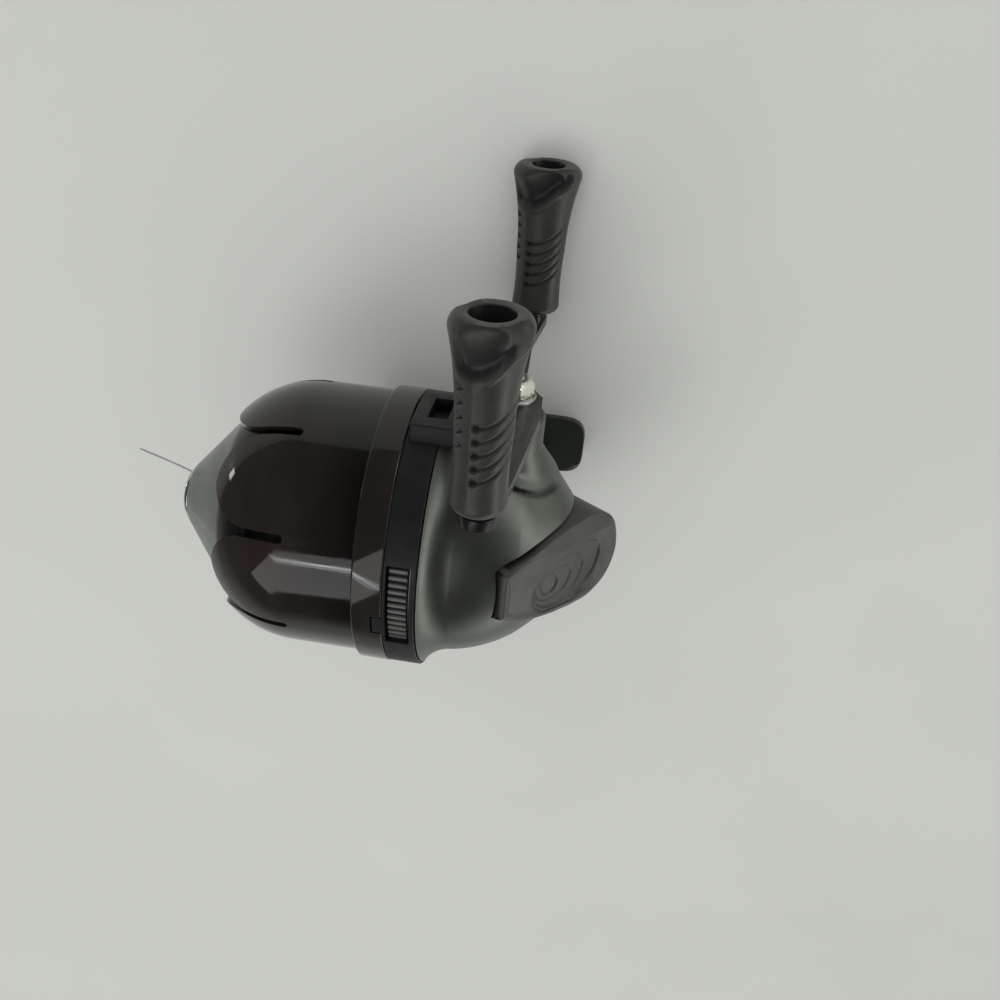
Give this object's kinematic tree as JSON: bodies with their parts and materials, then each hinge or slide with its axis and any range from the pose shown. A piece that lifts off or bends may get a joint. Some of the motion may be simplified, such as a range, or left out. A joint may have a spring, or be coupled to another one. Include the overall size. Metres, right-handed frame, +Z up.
{
  "type": "closed-face slingshot fishing reel",
  "caption": "Closed-face fishing reel for a slingshot: smoked dome with a line guide, side crank with paddle knobs, thumb button, drag wheel and a flat foot to clamp.",
  "frame": {"origin": "centre of the reel foot's underside, where it rests in the clamp", "axes": "+X along the spool axis and out of the nose, +Z up from the foot to the thumb button, -Y the crank side"},
  "size_m": [0.1093, 0.0994, 0.1061],
  "materials": {
    "smoked_cover": "glossy, smoked brown-black",
    "cone_metal": "satin grey",
    "guide_metal": "polished",
    "black_plastic": "matte black",
    "body_grey": "satin, dark warm grey",
    "button_grey": "satin, dark warm grey",
    "grip": "matte, dark warm grey",
    "arm_paint": "satin, near black",
    "nut_metal": "polished, warm",
    "steel": "satin",
    "brass": "satin",
    "deck_metal": "die cast, satin",
    "felt": "pressed felt",
    "line": "clear-grey nylon"
  },
  "bodies": {
    "frame": {"front_cover": "smoked_cover", "nose_cone": "cone_metal", "line_guide": "guide_metal", "deck_ring": "black_plastic", "deck_plate": "deck_metal", "front_bush": "brass", "spool_clip": "steel", "drag_spring": "steel", "drag_washer": "steel", "rear_cover": "body_grey", "crank_bushing": "brass", "pinion_washer": "brass", "pawl_pin": "steel", "pawl_spring": "steel", "button_pin": "steel", "reel_foot": "black_plastic", "foot_screws": "steel", "deck_screws": "steel"},
    "crank": {"crank_shaft": "steel", "drive_gear": "brass", "ratchet": "steel", "crank_spacer": "steel", "crank_arm": "arm_paint", "arm_washer": "steel", "arm_nut": "nut_metal", "front_spindle": "steel", "rear_spindle": "steel"},
    "front_knob": {"front_knob": "grip"},
    "rear_knob": {"rear_knob": "grip"},
    "pinion": {"pinion_gear": "brass", "spring_washer": "steel", "return_spring": "steel"},
    "rotor": {"centre_shaft": "steel", "spinner_head": "deck_metal", "spinner_nut": "brass", "shaft_collar": "steel", "line_lead": "line"},
    "pickup_pin": {"pickup_pin": "steel"},
    "spool": {"spool": "black_plastic", "line_winding": "line", "drag_felt": "felt"},
    "drag_wheel": {"drag_wheel": "black_plastic"},
    "button": {"thumb_button": "button_grey"},
    "pawl": {"pawl": "steel"}
  },
  "joints": [
    {"name": "crank", "type": "hinge", "parent": "frame", "child": "crank", "pos_m": [-0.0132, 0, 0.0485], "axis": [0, -1, 0], "continuous": true},
    {"name": "pinion_spin", "type": "hinge", "parent": "frame", "child": "pinion", "pos_m": [0, 0, 0.0485], "axis": [1, 0, 0], "continuous": true},
    {"name": "rotor_push", "type": "slide", "parent": "pinion", "child": "rotor", "axis": [1, 0, 0], "range_m": [0, 0.00195], "deforming": ["return_spring"]},
    {"name": "pin_retract", "type": "slide", "parent": "rotor", "child": "pickup_pin", "axis": [0, 0.8192, 0.5736], "range_m": [0, 0.0019]},
    {"name": "button_press", "type": "hinge", "parent": "frame", "child": "button", "pos_m": [-0.01548, 0, 0.06697], "axis": [0, -1, 0], "range_deg": [0, 6], "stiffness_Nm_per_rad": 1, "springref_deg": -5.73},
    {"name": "front_knob_spin", "type": "hinge", "parent": "crank", "child": "front_knob", "pos_m": [-0.01415, -0.05, 0.09535], "axis": [0, -1, 0], "continuous": true},
    {"name": "rear_knob_spin", "type": "hinge", "parent": "crank", "child": "rear_knob", "pos_m": [-0.01225, -0.05, 0.00165], "axis": [0, -1, 0], "continuous": true},
    {"name": "spool_slip", "type": "hinge", "parent": "frame", "child": "spool", "pos_m": [0, 0, 0.0485], "axis": [1, 0, 0], "continuous": true},
    {"name": "drag_adjust", "type": "hinge", "parent": "frame", "child": "drag_wheel", "pos_m": [0, 0, 0.0485], "axis": [1, 0, 0], "range_deg": [-150, 150]},
    {"name": "pawl_lift", "type": "hinge", "parent": "frame", "child": "pawl", "pos_m": [-0.0055, -0.008, 0.0385], "axis": [0, -1, 0], "range_deg": [0, 10], "stiffness_Nm_per_rad": 0.001, "springref_deg": -5.73}
  ],
  "couplings": [
    {"joint": "pinion_spin", "follows": "crank", "ratio": -3.4},
    {"joint": "rotor_push", "follows": "button_press", "m_per_rad": 0.01855},
    {"joint": "pin_retract", "follows": "button_press", "m_per_rad": 0.018}
  ]
}
